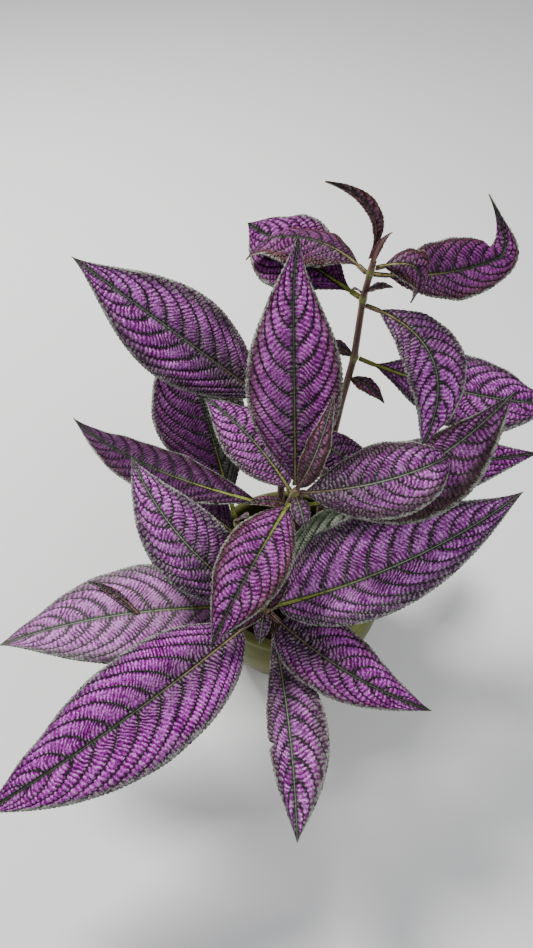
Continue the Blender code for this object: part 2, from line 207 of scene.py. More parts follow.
# %% [markdown]
# ## Where a leaf leaves its stem
# A leaf stalk starts just outside the bark, so its start depends on how thick the stem is there. These
# helpers find a stem's axis, direction and radius at any height, with the swelling of a near node.

# %% Stem helpers


def unit(vector):
    return vector / np.linalg.norm(vector)


def stem_axis(name):
    """The stem's points in metres, with one more where it ends in the potting mix."""
    points = [np.array(p) * MM for p in STEMS[name][0]]
    return [points[0] - unit(points[1] - points[0]) * BURIED] + points


def stem_at(name, height):
    """The axis point of a stem at a height, its direction, its radius and how much it swells."""
    axis = stem_axis(name)
    _, foot, head, nodes = STEMS[name]
    k = next((k for k in range(len(axis) - 2) if height <= axis[k + 1][2]), len(axis) - 2)
    low, high = axis[k], axis[k + 1]
    share = (height - low[2]) / (high[2] - low[2])
    grown = np.clip((height - axis[1][2]) / (axis[-1][2] - axis[1][2]), 0, 1)
    near = min(abs(height - node * MM) for node in nodes)
    swell = 1 + (SWELL - 1) * max(0, 1 - near / NODE_HALF)
    return low + (high - low) * share, unit(high - low), (foot + (head - foot) * grown) * MM, swell


def leaf_ends(leaf):
    axis, along, radius, swell = stem_at(leaf.stem, leaf.height * MM)
    if leaf.start is not None:
        return np.array(leaf.start) * MM, leaf.tip
    if leaf in YOUNG[leaf.stem]:
        return axis, leaf.tip
    if leaf.height >= STEMS[leaf.stem][0][-1][2]:
        return axis + along * HEAD_CLEARANCE, leaf.tip
    outward = unit(leaf.tip - axis)
    slant = max(0.5, np.linalg.norm(np.cross(outward, along)))
    sinking = max(0, -outward @ along - 4 * leaf.arch)
    return axis + outward * (radius * swell + GAP + RIB_THICK * sinking) / slant, leaf.tip


print("the tall stem is", round(stem_at("tall", 0.2)[2] * 2000, 1), "mm thick half way up")

# %% [markdown]
# ## The bend of a leaf
# The midrib is a straight line from start to tip that is bowed up and sideways, and may hook at its
# end. At each point of it the blade has a sideways and an upward direction, turned by the leaf's roll.

# %% Midrib line and its directions


def bend(leaf):
    start, tip = leaf_ends(leaf)
    chord = tip - start
    left = unit(np.cross([0, 0, 1.0], chord))
    return start, chord, left, np.cross(unit(chord), left)


def midrib(leaf, s):
    """Points of the midrib, for shares s of the way from stem to tip."""
    start, chord, left, up = bend(leaf)
    s = np.asarray(s, float)[:, None]
    bow = 4 * s * (1 - s) * np.linalg.norm(chord)
    late = np.maximum(0, (s - HOOK_START) / (1 - HOOK_START)) ** 2
    return start + chord * s + (up * leaf.arch + left * leaf.sway) * bow + leaf.hook * late


def directions(leaf, s):
    along = midrib(leaf, s + 0.001) - midrib(leaf, s - 0.001)
    along /= np.linalg.norm(along, axis=1)[:, None]
    left = bend(leaf)[2]
    side = left - along * (along @ left)[:, None]
    side /= np.linalg.norm(side, axis=1)[:, None]
    up = np.cross(along, side)
    turn, lean = math.cos(leaf.roll), math.sin(leaf.roll)
    return side * turn + up * lean, up * turn - side * lean


def length_of(leaf):
    steps = np.diff(midrib(leaf, np.linspace(0, 1, 60)), axis=0)
    return np.linalg.norm(steps, axis=1).sum()


print("longest leaf:", round(max(length_of(leaf) for leaf in LEAVES.values()), 3), "m")

# %% [markdown]
# ## The veins as numbers
# A side vein leaves the midrib at about 65 degrees and swings forward until it runs along the margin.
# The veins stand 4 mm apart and a seventeenth of the blade's length more, so a large leaf has a wider
# pattern. The left and right ones are staggered a little at the midrib.
#
# Two numbers describe any point of the blade: `vein` rises by one from each side vein to the next, and
# `rung` counts the fine cross ribs between them. Cross ribs start square to the midrib and then turn
# until they are square to the side veins, so their slope is one over the slope of the veins. Both
# numbers are stored on the mesh for the finish.

# %% Vein and rung counts
VEIN_OPENING, VEIN_SWING, VEIN_CURL = 0.45, 1.15, 2.6
VEIN_STEP, LENGTH_SHARE = 4 * MM, 17
STAGGER, STAGGER_SHARPNESS = 0.12, 20
RUNG_STEP, RUNG_TURN = 2.5 * MM, 6 * MM


def vein_counts(leaf, u, v, half):
    """vein and rung at every point: u along the blade, v across it, half the blade's half width."""
    blade, most, across = length_of(leaf) * (1 - leaf.stalk), leaf.width / 2, np.abs(v)
    forward = most * (VEIN_OPENING * across + VEIN_SWING * across ** VEIN_CURL)
    vein = (u * blade - forward) / (VEIN_STEP + blade / LENGTH_SHARE)
    vein = vein + STAGGER * np.tanh(STAGGER_SHARPNESS * v)
    slope = (VEIN_OPENING + VEIN_CURL * VEIN_SWING * across ** (VEIN_CURL - 1)) * most / np.maximum(half, MM)
    turned_in = np.minimum(1, across * half / RUNG_TURN) ** 2 / slope
    middle = v.shape[1] // 2
    steps = half * (turned_in[:, 1:] + turned_in[:, :-1]) / 2 * np.diff(v)
    shift = np.concatenate([0 * half, np.cumsum(steps, axis=1)], axis=1)
    return vein, (u * blade + np.abs(shift - shift[:, middle:middle + 1])) / RUNG_STEP


print("cross ribs stand", RUNG_STEP, "m apart")

# %% [markdown]
# ## The outline of a blade
# A lance shape rises quickly from the stalk, is widest before the middle and is drawn out to a point.
# The margin has small rounded teeth, and here and there it ripples up and down.

# %% Blade outline
TOOTH_STEP, TOOTH_HEIGHT, TOOTH_ROUNDNESS = 2.7 * MM, 0.4 * MM, 0.7
FULL_TOOTH_HALF = 5 * MM


def half_width(leaf, u):
    base = leaf.taper * leaf.widest / (1 - leaf.widest)
    peak = leaf.widest ** base * (1 - leaf.widest) ** leaf.taper
    return leaf.width / 2 * u ** base * (1 - u) ** leaf.taper / peak


def teeth(leaf, u, half):
    """How far the margin stands out: full teeth on a wide blade, none at its tip."""
    round_tooth = np.abs(np.sin(np.pi * u * length_of(leaf) / TOOTH_STEP)) ** TOOTH_ROUNDNESS
    return TOOTH_HEIGHT * (2 * round_tooth - 1) * np.minimum(1, half / FULL_TOOTH_HALF)


print("half width of a 60 mm leaf at its middle:", round(half_width(LEAVES["left_pale"], 0.5) * 1000, 1))

# %% [markdown]
# ## A blade as a grid
# The blade is a grid of points, rows along the leaf and columns across it. Each point is put on the
# bent surface and then raised by the quilting: high between two side veins and low on them. The
# quilting is calm at the midrib and at the margin, and the margin ripples slowly up and down. The much
# finer cross ribs are left to the finish.

# %% Blade surface
QUILT, QUILT_ROUNDNESS = 1.2 * MM, 0.6
RIPPLE, LONG_WAVES, SHORT_WAVES, SHORT_SHARE = 0.8 * MM, 3.2, 6.1, 0.6
GROWN_HALF, CALM_RIB, CALM_MARGIN = 12 * MM, 3 * MM, 0.08
NICK_DEPTH, NICK_SPAN = 3 * MM, 0.012
LAST_COLUMN, STALK_HOLLOW = 0.965, 0.35 * MM


def blade_surface(leaf, rows, columns, seed):
    """Points of the upper face, their distance off the midrib, vein, rung, and the grid's u and v."""
    wave = np.random.default_rng(seed).uniform(0, 2 * np.pi, 3)
    u = np.linspace(0, 1, rows)[:, None]
    v = np.concatenate([[-1], np.linspace(-LAST_COLUMN, LAST_COLUMN, columns - 2), [1]])[None, :]
    side, edge = np.where(v < 0, -1.0, 1.0), np.abs(v)
    half = np.maximum(half_width(leaf, u), 0)
    grown = np.minimum(1, half / GROWN_HALF)
    reach = half * (1 + leaf.lop * side) * edge + np.where(edge == 1, teeth(leaf, u, half), 0)
    reach = reach + STALK_HALF * edge * (0.15 + 0.85 * (1 - u) ** 0.5)
    torn = NICK_DEPTH * edge ** 4 * np.exp(-((u - leaf.nick) / NICK_SPAN) ** 2)
    reach = reach - np.where(v < 0, torn, 0)
    vein, rung = vein_counts(leaf, u, v, half)
    calm = np.minimum(1, np.abs(reach) / CALM_RIB) * np.clip((1 - edge) / CALM_MARGIN, 0, 1)
    quilt = np.abs(np.sin(np.pi * vein)) ** QUILT_ROUNDNESS
    ripple = np.sin(2 * np.pi * u * LONG_WAVES + wave[0] + side * wave[1])
    ripple = ripple + SHORT_SHARE * np.sin(2 * np.pi * u * SHORT_WAVES + wave[2])
    lift = reach * (math.sin(leaf.fold) - EDGE_DROOP * edge)
    lift = lift + grown * (QUILT * quilt * calm + RIPPLE * ripple * edge ** 2)
    s = leaf.stalk + (1 - leaf.stalk) * u[:, 0]
    across, up = directions(leaf, s)
    top = midrib(leaf, s)[:, None] + across[:, None] * (side * reach * math.cos(leaf.fold))[..., None]
    return top + up[:, None] * lift[..., None], reach * side, vein, rung, u, v


def stalk_surface(leaf, rows, v):
    """Points of the stalk's upper side, a shallow channel, and their distance off its middle."""
    s = np.linspace(0, leaf.stalk, rows, endpoint=False)
    across, up = directions(leaf, s)
    reach = STALK_HALF * v * np.ones((rows, 1))
    hollow = STALK_HOLLOW * np.abs(v) ** 2 * np.ones((rows, 1))
    top = midrib(leaf, s)[:, None] + across[:, None] * reach[..., None] + up[:, None] * hollow[..., None]
    return top, reach


print("quilts", QUILT, "m high")

# %% [markdown]
# ## Faces from numbered points
# `index` holds the number of each point, laid out like the grid, so the faces can be read off it: quads
# between neighbours, and a band that closes an upper grid to a lower one. A tube is a stack of rings,
# closed at both ends by a fan of three cornered faces, where -1 stands for the fourth corner.

# %% Face helpers


def grid_faces(index):
    """Quads between the neighbouring points of a grid."""
    corners = index[:-1, :-1], index[:-1, 1:], index[1:, 1:], index[1:, :-1]
    return np.stack(corners, axis=2).reshape(-1, 4)


def edge_faces(index, offset):
    """Quads that join the outline of the upper grid to that of the lower one."""
    ring = np.concatenate([index[0], index[1:, -1], index[-1, -2::-1], index[-2:0:-1, 0]])
    after = np.roll(ring, -1)
    return np.stack([ring, ring + offset, after + offset, after], axis=1)


def tube_faces(rings, sides, flip=False):
    """Quads between rings of points, and fans to two more points, below and above."""
    here = np.arange(sides)
    after = (here + 1) % sides
    if flip:
        here, after = after, here
    last, below, none = (rings - 1) * sides, 0 * here + rings * sides, 0 * here - 1
    quads = [np.stack([here, after, after + sides, here + sides], axis=1) + k for k in range(0, last, sides)]
    fans = [(after, here, below, none), (last + here, last + after, below + 1, none)]
    return np.concatenate(quads + [np.stack(fan, axis=1) for fan in fans])


print("a tube of 2 rings of 4 points has", len(tube_faces(2, 4)), "faces")

# %% [markdown]
# ## From grid to leaf
# The grid's own slopes give the direction square to the surface. A second grid lies that way, by the
# blade's thickness, and the two are closed at the margin, so the leaf has a real thickness, with a
# midrib and side veins that stand out below. Numbers that the finish needs are stored as attributes:
# `pattern` holds the vein count, the rung count and the distance from the midrib in millimetres,
# `place` where on the leaf a point is, below zero on the stalk, and `look` the leaf's own colouring.

# %% Grid to closed leaf
STALK_ROWS, STALK_MARK = 6, -0.05
FEWEST_ROWS, FEWEST_HALF_COLUMNS, COLUMN_STRETCH = 14, 5, 1.25
VEIN_RIDGE, RIDGE_WIDTH, RIDGE_START = 0.25 * MM, 0.12, 4 * MM
FULL_RIB_WIDTH, RIB_SPREAD, RIB_THINNING = 20 * MM, 1.0 * MM, 0.7


def twice(grid):
    """The same numbers for the upper and the lower grid."""
    return np.concatenate([grid.ravel(), grid.ravel()])


def leaf_grid(leaf, fine, seed):
    """Points, faces, finish index and attribute arrays of one closed leaf."""
    rows = max(FEWEST_ROWS, int(length_of(leaf) * (1 - leaf.stalk) / fine))
    columns = 2 * max(FEWEST_HALF_COLUMNS, int(leaf.width / 2 / (fine * COLUMN_STRETCH))) + 1
    blade, off, vein, rung, u, v = blade_surface(leaf, rows, columns, seed)
    stalk, stalk_off = stalk_surface(leaf, STALK_ROWS, v)
    top = np.concatenate([stalk, blade])
    off = np.concatenate([stalk_off, off])
    blank = np.zeros((STALK_ROWS, columns))
    vein, rung = np.concatenate([blank + vein[0].max(), vein]), np.concatenate([blank, rung])
    far = np.concatenate([blank + STALK_MARK, u + 0 * v])
    rows += STALK_ROWS
    normal = np.cross(np.gradient(top, axis=1), np.gradient(top, axis=0))
    normal /= -np.maximum(np.linalg.norm(normal, axis=2), 1e-12)[..., None]
    flat = np.abs(off)
    ridge = np.clip(1 - np.abs(vein - np.round(vein)) / RIDGE_WIDTH, 0, 1)
    ridge = ridge * np.minimum(1, flat / RIDGE_START)
    slim = np.minimum(1, leaf.width / FULL_RIB_WIDTH)
    rib = (RIB_THICK - BLADE_THICK) * slim * np.exp(-(flat / RIB_SPREAD) ** 2)
    rib = rib * (1 - RIB_THINNING * np.clip(far, 0, 1))
    thick = BLADE_THICK + rib + VEIN_RIDGE * ridge * slim
    under = top - normal * thick[..., None]
    count = rows * columns
    index = np.arange(count).reshape(rows, columns)
    upper, lower = grid_faces(index), grid_faces(index + count)[:, ::-1]
    faces = np.concatenate([upper, lower, edge_faces(index, count)])
    finish = np.concatenate([np.zeros(len(upper), int), np.ones(len(faces) - len(upper), int)])
    pattern = np.stack([twice(vein), twice(rung), twice(off * 1000)], axis=1)
    place = np.stack([twice(far), twice(v + 0 * far), twice(0 * far)], axis=1)
    look = np.tile(np.array(leaf.look, float), (2 * count, 1))
    look[:, 3] += twice(np.where(off > 0, leaf.green[1], leaf.green[0]) * (far >= 0))
    return np.concatenate([top.reshape(-1, 3), under.reshape(-1, 3)]), faces, finish, pattern, place, look


print("a leaf has", STALK_ROWS, "rows of stalk and then its blade")

# %% [markdown]
# ## A small workshop for finishes
# Each finish is a Principled shader fed by math, noise and mix nodes. Wired one by one they would fill
# pages, so this helper class keeps it short: it adds a node, does a calculation, mixes two colours, or
# fades a number smoothly between two limits. `rest` is what is missing to one.

# %% Finish helper


class Finish:
    def __init__(self, name, **sockets):
        self.material = bpy.data.materials.new(name)
        self.material.use_nodes = True
        self.tree = self.material.node_tree
        self.shader = self.tree.nodes["Principled BSDF"]
        for socket, value in sockets.items():
            self.shader.inputs[socket.replace("_", " ")].default_value = value

    def put(self, socket, value):
        """Link a socket, or set it; a colour of three numbers gets its alpha."""
        if isinstance(value, bpy.types.NodeSocket):
            self.tree.links.new(value, socket)
        elif socket.type == "RGBA" and len(value) == 3:
            socket.default_value = (*value, 1)
        else:
            socket.default_value = value

    def node(self, kind, inputs=(), **settings):
        made = self.tree.nodes.new(kind)
        for name, value in settings.items():
            setattr(made, name, value)
        for name, value in dict(inputs).items():
            self.put(made.inputs[name], value)
        return made

    def calc(self, operation, *values):
        made = self.tree.nodes.new("ShaderNodeMath")
        made.operation = operation
        for socket, value in zip(made.inputs, values):
            self.put(socket, value)
        return made.outputs[0]

    def chain(self, operation, values):
        result = values[0]
        for value in values[1:]:
            result = self.calc(operation, result, value)
        return result

    def times(self, *values):
        return self.chain("MULTIPLY", values)

    def plus(self, *values):
        return self.chain("ADD", values)

    def minus(self, first, second):
        return self.calc("SUBTRACT", first, second)

    def rest(self, value):
        return self.minus(1.0, value)

    def mix(self, share, first, second):
        made = self.node("ShaderNodeMix", data_type="RGBA")
        for name, value in (("Factor_Float", share), ("A_Color", first), ("B_Color", second)):
            self.put(next(s for s in made.inputs if s.identifier == name), value)
        return next(s for s in made.outputs if s.identifier == "Result_Color")

    def fade(self, value, low, high):
        """0 up to low, 1 from high on, and smooth between them."""
        limits = {"Value": value, "From Min": low, "From Max": high}
        made = self.node("ShaderNodeMapRange", limits, interpolation_type="SMOOTHSTEP")
        return made.outputs[0]

    def fade_out(self, value, low, high):
        return self.rest(self.fade(value, low, high))

    def stored(self, name):
        return self.node("ShaderNodeAttribute", attribute_name=name)

    def stored_parts(self, name):
        """The three numbers of a stored attribute."""
        vector = self.stored(name).outputs["Vector"]
        return self.node("ShaderNodeSeparateXYZ", {"Vector": vector}).outputs

    def noise(self, scale, detail=3, roughness=0.5):
        place = self.node("ShaderNodeTexCoord").outputs["Object"]
        inputs = {"Vector": place, "Scale": scale, "Detail": detail, "Roughness": roughness}
        return self.node("ShaderNodeTexNoise", inputs).outputs["Fac"]

    def relief(self, height_mm, strength=1.0):
        bump = self.node("ShaderNodeBump", {"Height": height_mm, "Distance": MM, "Strength": strength})
        self.tree.links.new(bump.outputs[0], self.shader.inputs["Normal"])

    def colour(self, value):
        self.put(self.shader.inputs["Base Color"], value)


print("finish helper ready")

# %% [markdown]
# ## The numbers that a leaf is drawn from
# Both faces of a leaf show the same veins, so they share these numbers, and `at` holds them for the
# point that is drawn. The fractional part of the vein count gives the distance to the nearest side
# vein, and a sine of the rung count gives the small swellings between the cross ribs. A little noise on
# both keeps the pattern from looking printed.

# %% Leaf patterns
VEIN_WOBBLE, RUNG_SHIFT, RUNG_WOBBLE = 0.07, 0.37, 1.5


def leaf_patterns(finish):
    """The numbers that both faces of a leaf are drawn from."""
    pattern, place, look = finish.stored_parts("pattern"), finish.stored_parts("place"), finish.stored("look")
    parts = finish.node("ShaderNodeSeparateColor", {"Color": look.outputs["Color"]})
    wobble = finish.minus(finish.noise(220, 2), 0.5)
    vein = finish.plus(pattern[0], finish.times(wobble, VEIN_WOBBLE))
    to_vein = finish.calc("ABSOLUTE", finish.minus(finish.calc("FRACT", finish.plus(vein, 0.5)), 0.5))
    shift = finish.times(finish.calc("FLOOR", vein), RUNG_SHIFT)
    crooked = finish.times(finish.minus(finish.noise(260, 3, 0.6), 0.5), RUNG_WOBBLE)
    rung = finish.plus(pattern[1], shift, crooked)
    return types.SimpleNamespace(
        to_vein=to_vein,
        wave=finish.calc("ABSOLUTE", finish.calc("SINE", finish.times(rung, math.pi))),
        off=finish.calc("ABSOLUTE", pattern[2]),
        far=place[0],
        edge=finish.calc("ABSOLUTE", place[1]),
        silver=parts.outputs[0],
        painted_shade=parts.outputs[1],
        young=parts.outputs[2],
        lime=finish.calc("MINIMUM", look.outputs["Alpha"], 1.0),
        green=finish.fade(look.outputs["Alpha"], 1.0, 2.0),
    )


upper = Finish("leaf_upper", Roughness=0.40, Specular_IOR_Level=0.16)
at = leaf_patterns(upper)
silver_squared = upper.times(at.silver, at.silver)
print("a leaf is drawn from", len(vars(at)), "numbers")

# %% [markdown]
# ## Veins and midrib of the upper face
# These are masks, from 0 to 1. A side vein has a dark side, its own dark green widened by painted
# shade, and a lighter core, its own colour with a painted highlight on the ridge. The midrib is widest
# near the stem, most of all where it is yellow green, and it has a dark border, which young leaves lack.
# This finish is the longest one, so its helpers get short names first.

# %% Masks of the veins and the midrib
times, plus, minus, rest = upper.times, upper.plus, upper.minus, upper.rest
mix, fade, fade_out, noise = upper.mix, upper.fade, upper.fade_out, upper.noise
# Painted shade: the dark band along each side vein, over the vein's own dark green.
vein_band_with_shade = fade_out(at.to_vein, 0.012, 0.038)
vein_core = fade_out(at.to_vein, 0.004, 0.018)
rib_base = times(fade_out(at.far, 0.0, 0.25), at.lime, 0.55)
rib_half = plus(0.14, rib_base, times(rest(at.far), 0.30))
past_rib = minus(at.off, rib_half)
rib_line = fade_out(past_rib, -0.12, 0.20)
rib_side = times(fade_out(past_rib, 0.2, 1.1), rest(at.young))
print("masks of veins and midrib ready")

# %% [markdown]
# ## The quilts of the upper face
# The purple lies on the crown of each quilt. It is missing near the side veins, where painted shade
# darkens the crease, in a band along the margin, which is wider on silvery leaves, and in a dark heart
# at the foot of the blade. Each quilt is beaded by the cross ribs, with painted shade in the creases
# between the beads, and in mid quilt the beads run together in patches.

# %% Masks of the quilts
cloud = noise(90, 3)
grit = noise(330, 3, 0.6)
pits = noise(800, 2)
fleck = noise(1300, 2)
ragged = times(minus(grit, 0.5), 0.30)

band = times(silver_squared, rest(at.silver), 1.8)
inner = fade_out(plus(at.edge, ragged, band), 0.82, 1.04)
heart = times(fade_out(at.far, 0.15, 0.78), fade_out(at.off, 4.0, 20.0), rest(times(at.lime, 0.7)))
crown = fade(plus(at.to_vein, ragged), 0.01, 0.17)
crown = times(crown, fade(at.off, 0.4, 3.0), plus(0.14, times(inner, 0.86)), rest(times(heart, 0.90)))
puff = upper.calc("POWER", at.wave, 0.8)
joined = times(fade(at.to_vein, 0.06, 0.34), plus(0.30, times(fade(cloud, 0.35, 0.6), 0.5)))
bead = plus(puff, times(rest(puff), joined))
uneven = plus(0.30, plus(times(fade(grit, 0.32, 0.60), 0.40), times(fade(pits, 0.34, 0.60), 0.40)))
# Painted shade: this share is low in the creases between beads and beside the veins, high on the crowns.
tone_with_crease_shade = times(plus(0.06, times(crown, 0.94)), bead, uneven)
print("masks of the quilts ready")

# %% [markdown]
# ## Purple, silver and grey
# From the bottom up: purple, darkened in the creases with painted shade and bright on the beads; a lilac
# painted sheen in patches; silver painted highlights on the crests; a paler colouring of painted sheen
# for the most silvery leaf; and, where the purple is missing, a fine grey net of painted sheen on the
# cross rib crests.

# %% Purple and silver
CREASE_SHADE_PURPLE, BRIGHT_PURPLE = (0.005, 0.001, 0.007), (0.44, 0.003, 0.43)
LILAC_SHEEN, SILVER_HIGHLIGHT, GREY_SHEEN = (0.60, 0.25, 0.70), (0.80, 0.56, 0.84), (0.25, 0.25, 0.22)
PALE_CREASE_SHADE, PALE_SHEEN_PINK = (0.11, 0.09, 0.10), (0.66, 0.25, 0.64)
# The purple goes deep where painted shade lies in the creases.
face = mix(tone_with_crease_shade, CREASE_SHADE_PURPLE, BRIGHT_PURPLE)
# Painted sheen: lilac patches on the quilts, stronger on silvery leaves.
lilac_sheen = times(fade(cloud, 0.36, 0.60), fade(at.to_vein, 0.06, 0.30), bead, fade(pits, 0.42, 0.60),
              plus(0.15, at.silver))
face = mix(times(lilac_sheen, crown), face, LILAC_SHEEN)
# Painted highlight: silver dashes on the crests of the beads.
crest = times(fade(at.wave, 0.72, 0.98), fade(grit, 0.36, 0.56))
crest_highlight = times(crest, crown, fade(fleck, 0.42, 0.58), plus(0.36, times(at.silver, 1.25)))
face = mix(upper.calc("MINIMUM", crest_highlight, 1.0), face, SILVER_HIGHLIGHT)
# Painted sheen: the most silvery leaf is paled all over, its creases still shaded.
pale_sheen = times(upper.calc("POWER", at.silver, 3.0), 0.90)
face = mix(pale_sheen, face, mix(tone_with_crease_shade, PALE_CREASE_SHADE, PALE_SHEEN_PINK))
# Painted sheen: a grey net on the cross rib crests where the purple is missing.
grey_sheen_net = times(fade(at.wave, 0.60, 0.96), fade(grit, 0.36, 0.54), fade(fleck, 0.34, 0.54), rest(crown),
            plus(0.55, at.silver))
face = mix(upper.calc("MINIMUM", grey_sheen_net, 1.0), face, GREY_SHEEN)
print("purple and silver mixed")

# %% [markdown]
# ## Old, young and shaded leaves
# An old leaf has lost its purple and is grey green. A young one is wine brown, and a slightly older one
# has kept that brown along its margin. Shaded leaves are darker all over.

# %% Old, young and shaded leaves
OLD_CREASE_SHADE, OLD_GREEN = (0.020, 0.034, 0.016), (0.36, 0.41, 0.31)
BROWN_CREASE_SHADE, WINE_BROWN = (0.046, 0.018, 0.020), (0.20, 0.078, 0.070)
SHADE = (0.012, 0.002, 0.014)
# Old and young leaves get the same painted shade in their creases.
face = mix(at.green, face, mix(tone_with_crease_shade, OLD_CREASE_SHADE, OLD_GREEN))
copper = times(fade(at.edge, 0.50, 0.98), at.young, 2.2)
browned = plus(upper.calc("POWER", at.young, 1.6), copper)
face = mix(upper.calc("MINIMUM", browned, 1.0), face, mix(tone_with_crease_shade, BROWN_CREASE_SHADE, WINE_BROWN))
# Painted shade: a leaf that lies in shade is darkened all over by its share of it in look.
face = mix(times(at.painted_shade, 0.85), face, SHADE)
print("ages of leaves mixed")

# %% [markdown]
# ## Veins, margin, midrib and relief
# The veins go over the purple: almost black green, and greyer on silvery leaves, with painted shade
# along their sides and a painted highlight on their core. The margin is frayed and grey green, more so
# towards the tip. The midrib is tan or yellow green near the stem and turns dark or grey green beyond.
# Last, the same masks give the relief: beads up, veins down.

# %% Veins, margin, midrib and relief
VEIN_DARK, VEIN_GREY = (0.007, 0.011, 0.005), (0.075, 0.10, 0.070)
CORE_DARK, CORE_GREY_HIGHLIGHT = (0.018, 0.034, 0.012), (0.19, 0.25, 0.15)
MARGIN_GREY = (0.30, 0.33, 0.27)
RIB_TAN, RIB_LIME = (0.19, 0.105, 0.075), (0.22, 0.25, 0.045)
RIB_DARK, RIB_GREY = (0.030, 0.050, 0.020), (0.26, 0.29, 0.22)
vein_colour = mix(silver_squared, VEIN_DARK, VEIN_GREY)
face = mix(upper.calc("MAXIMUM", vein_band_with_shade, rib_side), face, vein_colour)
# Painted highlight: the vein core turns paler on silvery leaves, as a lit ridge.
core_share = plus(times(at.silver, 0.7), times(at.lime, 0.4))
face = mix(vein_core, face, mix(core_share, CORE_DARK, CORE_GREY_HIGHLIGHT))
frayed = times(minus(fleck, 0.5), 0.24)
tipward = times(fade(at.far, 0.55, 0.95), 0.10)
margin = times(fade(plus(at.edge, frayed, tipward), 0.92, 1.0), fade(grit, 0.30, 0.50))
face = mix(times(margin, 0.85), face, MARGIN_GREY)
rib_near = mix(at.lime, RIB_TAN, RIB_LIME)
rib_tip = mix(times(silver_squared, 3.2), RIB_DARK, RIB_GREY)
rib_colour = mix(fade(at.far, 0.08, 0.50), rib_near, rib_tip)
upper.colour(mix(rib_line, face, rib_colour))
swell = times(bead, plus(0.35, times(crown, 0.65)))
height = minus(times(swell, 1.30), times(vein_band_with_shade, 0.4))
upper.relief(plus(height, times(grit, 0.9), times(vein_core, 0.5), times(rib_line, 0.5)))
print("upper finish:", len(upper.tree.nodes), "nodes")

# %% [markdown]
# ## The underside of a leaf
# Underneath, the leaf is a plain wine purple, and the veins stand out as paler ridges. The cross ribs
# show only as a faint relief, the other way up.

# %% Underside finish
under = Finish("leaf_under", Roughness=0.55, Specular_IOR_Level=0.35)
at = leaf_patterns(under)
vein_ridge = under.fade_out(at.to_vein, 0.03, 0.11)
rib_ridge = under.fade_out(at.off, 0.7, 1.4)
ridge = under.calc("MAXIMUM", under.times(vein_ridge, 0.55), rib_ridge)
wine = under.mix(under.fade(under.noise(90), 0.3, 0.7), (0.090, 0.014, 0.050), (0.130, 0.022, 0.085))
wine = under.mix(under.times(at.young, 0.7), wine, (0.11, 0.035, 0.025))
rib_pale = under.mix(at.lime, (0.20, 0.10, 0.09), (0.20, 0.24, 0.06))
under.colour(under.mix(ridge, wine, rib_pale))
under.relief(under.plus(under.times(ridge, 0.4), under.times(at.wave, -0.12)))
print("underside finish:", len(under.tree.nodes), "nodes")

# %% [markdown]
# ## Making a piece
# A piece is an object that stands for one of the plain solids. It rides on the plant's only body, and
# it carries its finishes as materials. A stem takes its young leaves into the same mesh, so a second
# helper joins a leaf to what is already made.

# %% Piece helper
STORED = ("pattern", "place", "look")


def piece(name, arrays, finishes, node):
    """A meshed object that replaces a solid, from points, faces, finish of each face and attributes."""
    points, faces, finish_index, *stored = arrays
    mesh = bpy.data.meshes.new(name)
    mesh.from_pydata(points.tolist(), [], [[k for k in face if k >= 0] for face in faces.tolist()])
    for finish in finishes:
        mesh.materials.append(finish.material)
    mesh.polygons.foreach_set("material_index", np.asarray(finish_index, np.int32))
    for title, values in zip(STORED, stored):
        kind, field = ("FLOAT_COLOR", "color") if values.shape[1] == 4 else ("FLOAT_VECTOR", "vector")
        attribute = mesh.attributes.new(title, kind, "POINT")
        attribute.data.foreach_set(field, values.astype(np.float32).ravel())
    mesh.shade_smooth()
    mesh.update()
    made = bpy.data.objects.new(name, mesh)
    bpy.context.scene.collection.objects.link(made)
    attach(made, "root")
    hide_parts(node)


def with_leaf(made, leaf, fine, seed):
    """The arrays of a piece with one more closed leaf in them."""
    more = list(leaf_grid(leaf, fine, seed))
    more[1] = more[1] + len(made[0])
    return [np.concatenate(pair) for pair in zip(made, more)]


print("every piece rides on root")

# %% [markdown]
# ## The large leaves
# Every leaf is made by the same functions, with a point about every millimetre. Each has a seed of its
# own, so that no two ripple alike.

# %% Make the leaves
LEAF_FINE, BRACT_FINE, YOUNG_FINE = 0.9 * MM, 0.6 * MM, 0.8 * MM
LEAF_SEED, BRACT_SEED, YOUNG_SEED = 11, 90, 200
triangles = 0
for number, (name, leaf) in enumerate(LEAVES.items()):
    made = leaf_grid(leaf, LEAF_FINE, LEAF_SEED + number)
    if name == "left_pale":
        made = with_leaf(made, BRACT, BRACT_FINE, BRACT_SEED)
    piece("blade_" + name, made, (upper, under), "leaf_" + name)
    triangles += 2 * len(made[1])
print("leaves:", triangles, "triangles")

# %% [markdown]
# ## Bark
# The stems are brown maroon with a paler stripe down each of their four sides, and olive green at the
# swollen nodes. Short pale hairs give them a soft look, so a little sheen stands in for the hairs.

# %% Stem finish
bark = Finish("bark", Roughness=0.5, Sheen_Weight=0.3, Sheen_Tint=(0.9, 0.85, 0.8, 1), Specular_IOR_Level=0.4)
turn_and_green = bark.stored_parts("pattern")
streak = bark.fade(bark.calc("ABSOLUTE", bark.calc("SINE", bark.times(turn_and_green[0], 2.0))), 0.75, 1.0)
fibre = bark.noise(600, 4)
maroon = bark.mix(bark.fade(fibre, 0.3, 0.7), (0.055, 0.022, 0.015), (0.120, 0.050, 0.032))
maroon = bark.mix(bark.times(streak, 0.6), maroon, (0.22, 0.13, 0.09))
olive = bark.mix(bark.fade(fibre, 0.3, 0.7), (0.11, 0.12, 0.02), (0.20, 0.21, 0.05))
bark.colour(bark.mix(turn_and_green[1], maroon, olive))
bark.relief(bark.plus(bark.times(fibre, 0.12), bark.times(streak, 0.15)))
print("bark finish:", len(bark.tree.nodes), "nodes")

